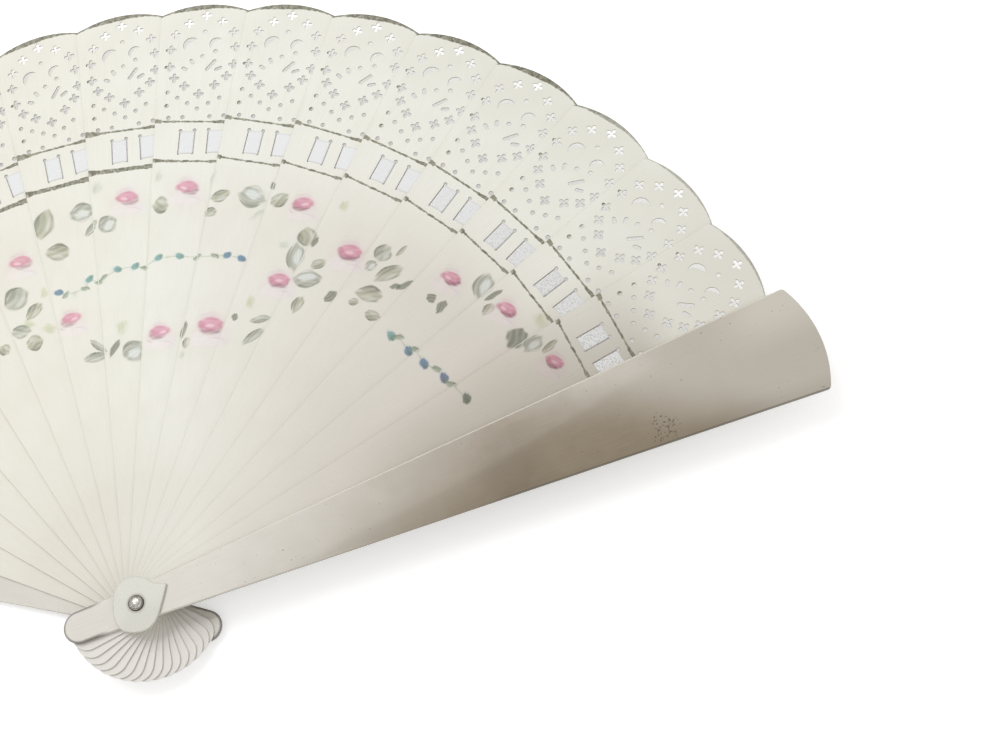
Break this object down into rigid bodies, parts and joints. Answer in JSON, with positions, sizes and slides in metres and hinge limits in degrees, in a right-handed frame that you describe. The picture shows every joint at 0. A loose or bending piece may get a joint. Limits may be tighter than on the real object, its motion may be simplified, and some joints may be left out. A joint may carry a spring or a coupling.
{
  "type": "brise folding fan",
  "caption": "Folding brise fan of thin pierced celluloid blades on one rivet, laced near the tips with a silk ribbon, between two plain guards; opens and closes.",
  "frame": {"origin": "on the rivet's axis, in the flat end of its back head", "axes": "+Z along the rivet towards its domed front head; +Y along the middle of the open fan, from the rivet to the tips; +X towards the front guard's side"},
  "size_m": [0.3506, 0.195, 0.0133],
  "materials": {
    "guard_celluloid": "glossy aged ivory-coloured celluloid with faint brown shading",
    "blade_celluloid": "satin ivory-coloured celluloid sheet, painted with a rose garland and edged with dull gilt lines",
    "plate_celluloid": "satin cream celluloid",
    "silk_ribbon": "white silk ribbon with a fine cross rib",
    "rivet_steel": "polished nickel-plated steel, darkened round the rim"
  },
  "bodies": {
    "base": {"back_guard": "guard_celluloid", "back_plate": "plate_celluloid", "rivet": "rivet_steel", "ribbon_back_end": "silk_ribbon"},
    "front": {"front_guard": "guard_celluloid", "front_plate": "plate_celluloid", "ribbon_front_end": "silk_ribbon"},
    "leaf_01": {"blade_01": "blade_celluloid", "ribbon_01": "silk_ribbon"},
    "leaf_02": {"blade_02": "blade_celluloid", "ribbon_02": "silk_ribbon"},
    "leaf_03": {"blade_03": "blade_celluloid", "ribbon_03": "silk_ribbon"},
    "leaf_04": {"blade_04": "blade_celluloid", "ribbon_04": "silk_ribbon"},
    "leaf_05": {"blade_05": "blade_celluloid", "ribbon_05": "silk_ribbon"},
    "leaf_06": {"blade_06": "blade_celluloid", "ribbon_06": "silk_ribbon"},
    "leaf_07": {"blade_07": "blade_celluloid", "ribbon_07": "silk_ribbon"},
    "leaf_08": {"blade_08": "blade_celluloid", "ribbon_08": "silk_ribbon"},
    "leaf_09": {"blade_09": "blade_celluloid", "ribbon_09": "silk_ribbon"},
    "leaf_10": {"blade_10": "blade_celluloid", "ribbon_10": "silk_ribbon"},
    "leaf_11": {"blade_11": "blade_celluloid", "ribbon_11": "silk_ribbon"},
    "leaf_12": {"blade_12": "blade_celluloid", "ribbon_12": "silk_ribbon"},
    "leaf_13": {"blade_13": "blade_celluloid", "ribbon_13": "silk_ribbon"},
    "leaf_14": {"blade_14": "blade_celluloid", "ribbon_14": "silk_ribbon"},
    "leaf_15": {"blade_15": "blade_celluloid", "ribbon_15": "silk_ribbon"},
    "leaf_16": {"blade_16": "blade_celluloid", "ribbon_16": "silk_ribbon"}
  },
  "joints": [
    {"name": "front_guard_swing", "type": "hinge", "parent": "base", "child": "front", "pos_m": [0, 0, 0], "axis": [0, 0, 1], "range_deg": [0, 144.5]},
    {"name": "blade_01_swing", "type": "hinge", "parent": "base", "child": "leaf_01", "pos_m": [0, 0, 0], "axis": [0, 0, 1], "range_deg": [0, 136.05]},
    {"name": "blade_02_swing", "type": "hinge", "parent": "base", "child": "leaf_02", "pos_m": [0, 0, 0], "axis": [0, 0, 1], "range_deg": [0, 127.55]},
    {"name": "blade_03_swing", "type": "hinge", "parent": "base", "child": "leaf_03", "pos_m": [0, 0, 0], "axis": [0, 0, 1], "range_deg": [0, 119.05]},
    {"name": "blade_04_swing", "type": "hinge", "parent": "base", "child": "leaf_04", "pos_m": [0, 0, 0], "axis": [0, 0, 1], "range_deg": [0, 110.55]},
    {"name": "blade_05_swing", "type": "hinge", "parent": "base", "child": "leaf_05", "pos_m": [0, 0, 0], "axis": [0, 0, 1], "range_deg": [0, 102.05]},
    {"name": "blade_06_swing", "type": "hinge", "parent": "base", "child": "leaf_06", "pos_m": [0, 0, 0], "axis": [0, 0, 1], "range_deg": [0, 93.55]},
    {"name": "blade_07_swing", "type": "hinge", "parent": "base", "child": "leaf_07", "pos_m": [0, 0, 0], "axis": [0, 0, 1], "range_deg": [0, 85.05]},
    {"name": "blade_08_swing", "type": "hinge", "parent": "base", "child": "leaf_08", "pos_m": [0, 0, 0], "axis": [0, 0, 1], "range_deg": [0, 76.55]},
    {"name": "blade_09_swing", "type": "hinge", "parent": "base", "child": "leaf_09", "pos_m": [0, 0, 0], "axis": [0, 0, 1], "range_deg": [0, 68.05]},
    {"name": "blade_10_swing", "type": "hinge", "parent": "base", "child": "leaf_10", "pos_m": [0, 0, 0], "axis": [0, 0, 1], "range_deg": [0, 59.55]},
    {"name": "blade_11_swing", "type": "hinge", "parent": "base", "child": "leaf_11", "pos_m": [0, 0, 0], "axis": [0, 0, 1], "range_deg": [0, 51.05]},
    {"name": "blade_12_swing", "type": "hinge", "parent": "base", "child": "leaf_12", "pos_m": [0, 0, 0], "axis": [0, 0, 1], "range_deg": [0, 42.55]},
    {"name": "blade_13_swing", "type": "hinge", "parent": "base", "child": "leaf_13", "pos_m": [0, 0, 0], "axis": [0, 0, 1], "range_deg": [0, 34.05]},
    {"name": "blade_14_swing", "type": "hinge", "parent": "base", "child": "leaf_14", "pos_m": [0, 0, 0], "axis": [0, 0, 1], "range_deg": [0, 25.55]},
    {"name": "blade_15_swing", "type": "hinge", "parent": "base", "child": "leaf_15", "pos_m": [0, 0, 0], "axis": [0, 0, 1], "range_deg": [0, 17.05]},
    {"name": "blade_16_swing", "type": "hinge", "parent": "base", "child": "leaf_16", "pos_m": [0, 0, 0], "axis": [0, 0, 1], "range_deg": [0, 8.55]}
  ],
  "couplings": [
    {"joint": "blade_01_swing", "follows": "front_guard_swing", "ratio": 0.94118},
    {"joint": "blade_02_swing", "follows": "front_guard_swing", "ratio": 0.88235},
    {"joint": "blade_03_swing", "follows": "front_guard_swing", "ratio": 0.82353},
    {"joint": "blade_04_swing", "follows": "front_guard_swing", "ratio": 0.76471},
    {"joint": "blade_05_swing", "follows": "front_guard_swing", "ratio": 0.70588},
    {"joint": "blade_06_swing", "follows": "front_guard_swing", "ratio": 0.64706},
    {"joint": "blade_07_swing", "follows": "front_guard_swing", "ratio": 0.58824},
    {"joint": "blade_08_swing", "follows": "front_guard_swing", "ratio": 0.52941},
    {"joint": "blade_09_swing", "follows": "front_guard_swing", "ratio": 0.47059},
    {"joint": "blade_10_swing", "follows": "front_guard_swing", "ratio": 0.41176},
    {"joint": "blade_11_swing", "follows": "front_guard_swing", "ratio": 0.35294},
    {"joint": "blade_12_swing", "follows": "front_guard_swing", "ratio": 0.29412},
    {"joint": "blade_13_swing", "follows": "front_guard_swing", "ratio": 0.23529},
    {"joint": "blade_14_swing", "follows": "front_guard_swing", "ratio": 0.17647},
    {"joint": "blade_15_swing", "follows": "front_guard_swing", "ratio": 0.11765},
    {"joint": "blade_16_swing", "follows": "front_guard_swing", "ratio": 0.058824}
  ]
}
